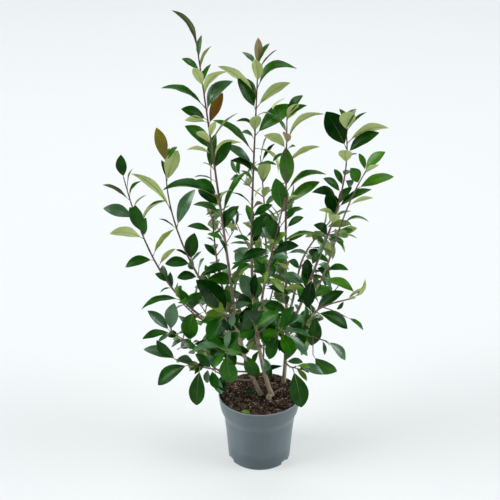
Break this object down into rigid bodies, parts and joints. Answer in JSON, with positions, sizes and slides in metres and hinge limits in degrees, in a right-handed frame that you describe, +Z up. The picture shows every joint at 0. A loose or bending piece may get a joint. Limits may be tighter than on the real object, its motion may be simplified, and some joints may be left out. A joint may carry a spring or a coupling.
{
  "type": "potted photinia shrub",
  "caption": "Multi-stemmed evergreen shrub with upright leafy shoots and a dense leafy base, growing from bark-flecked soil in a round plastic nursery pot.",
  "frame": {"origin": "centre of the pot's flat underside, at floor level", "axes": "+Z up along the pot's axis, -Y the side that the picture shows, +X to the right as seen from that side"},
  "size_m": [0.6435, 0.5114, 1.145],
  "materials": {
    "pot": "satin grey plastic",
    "soil": "moist peat and bark",
    "bark": "pale tan bark",
    "foliage": "glossy green leaves"
  },
  "bodies": {
    "root": {"bough_back": "bark", "bough_far_left": "bark", "bough_far_right": "bark", "bough_front": "bark", "bough_left": "bark", "bough_left_back": "bark", "bough_low_left": "bark", "bough_low_right": "bark", "bough_right": "bark", "bough_right_back": "bark", "cut_stub": "bark", "foliage_back": "foliage", "foliage_back_left": "foliage", "foliage_centre": "foliage", "foliage_centre_right": "foliage", "foliage_far_left": "foliage", "foliage_far_right": "foliage", "foliage_front": "foliage", "foliage_front_right": "foliage", "foliage_left": "foliage", "foliage_left_back": "foliage", "foliage_low_back": "foliage", "foliage_low_back_left": "foliage", "foliage_low_back_right": "foliage", "foliage_low_far_left": "foliage", "foliage_low_far_right": "foliage", "foliage_low_front_left": "foliage", "foliage_low_front_right": "foliage", "foliage_low_inner_left": "foliage", "foliage_low_left": "foliage", "foliage_low_right": "foliage", "foliage_mid_back": "foliage", "foliage_mid_front": "foliage", "foliage_mid_front_left": "foliage", "foliage_mid_left": "foliage", "foliage_mid_right_back": "foliage", "foliage_right": "foliage", "foliage_right_back": "foliage", "foliage_top": "foliage", "pot": "pot", "soil": "soil", "stem_back": "bark", "stem_left": "bark", "stem_right": "bark"}
  },
  "joints": []
}
